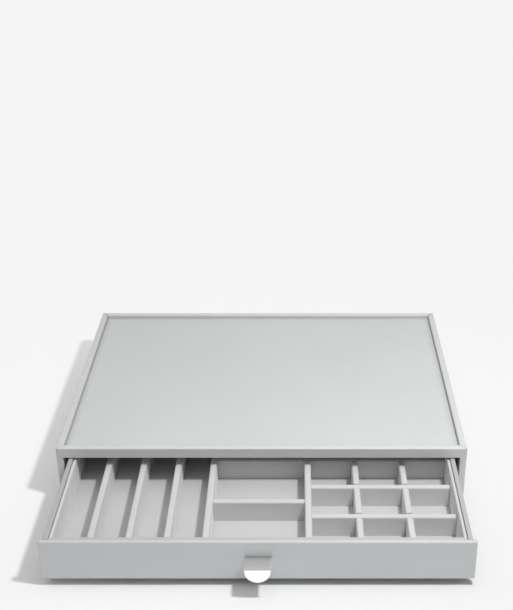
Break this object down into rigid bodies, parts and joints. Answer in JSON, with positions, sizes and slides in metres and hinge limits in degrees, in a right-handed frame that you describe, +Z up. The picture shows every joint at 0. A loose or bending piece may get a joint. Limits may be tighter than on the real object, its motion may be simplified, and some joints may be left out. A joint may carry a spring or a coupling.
{
  "type": "stackable jewellery drawer",
  "caption": "Low wrapped casing with a stacking recess on top and one inset drawer, its velvet tray divided into lanes, wide compartments and square cells.",
  "frame": {"origin": "centre of the resting face, under the middle of the casing", "axes": "+Z up; +X to the right seen from the front; the drawer opens towards -Y"},
  "size_m": [0.37, 0.404, 0.055],
  "materials": {
    "wrapped_board": "pale grey imitation leather, fine grain, satin",
    "wrapped_floor": "pale grey imitation leather, satin",
    "divider_velvet": "pale grey velvet, matte",
    "liner_velvet": "pale grey velvet, matte",
    "tray_velvet": "pale grey velvet over a board, matte",
    "base_cloth": "grey flock cloth, matte",
    "felt": "grey felt, matte",
    "guide_wood": "plain planed wood",
    "polished_tab": "mirror polished",
    "screw_steel": "plain steel"
  },
  "bodies": {
    "casing": {"base_step": "base_cloth", "casing_back": "wrapped_board", "casing_floor": "wrapped_floor", "casing_floor_felt": "felt", "casing_front_rail": "wrapped_board", "casing_guide_left": "guide_wood", "casing_guide_right": "guide_wood", "casing_side_left": "wrapped_board", "casing_side_right": "wrapped_board", "casing_top_panel": "wrapped_board"},
    "drawer": {"drawer_back": "wrapped_board", "drawer_floor": "wrapped_floor", "drawer_front": "wrapped_board", "drawer_side_left": "wrapped_board", "drawer_side_right": "wrapped_board", "grid_divider_cross_1": "divider_velvet", "grid_divider_cross_2": "divider_velvet", "grid_divider_cross_3": "divider_velvet", "grid_divider_cross_4": "divider_velvet", "grid_divider_cross_5": "divider_velvet", "grid_divider_long_1": "divider_velvet", "grid_divider_long_2": "divider_velvet", "handle": "polished_tab", "handle_screws": "screw_steel", "lane_divider_1": "divider_velvet", "lane_divider_2": "divider_velvet", "lane_divider_3": "divider_velvet", "liner_back": "liner_velvet", "liner_front": "liner_velvet", "liner_left": "liner_velvet", "liner_right": "liner_velvet", "main_divider_left": "divider_velvet", "main_divider_right": "divider_velvet", "middle_divider_1": "divider_velvet", "middle_divider_2": "divider_velvet", "middle_divider_3": "divider_velvet", "tray_board": "tray_velvet"}
  },
  "joints": [
    {"name": "drawer_slide", "type": "slide", "parent": "casing", "child": "drawer", "axis": [0, -1, 0], "range_m": [-0.118, 0.082]}
  ]
}
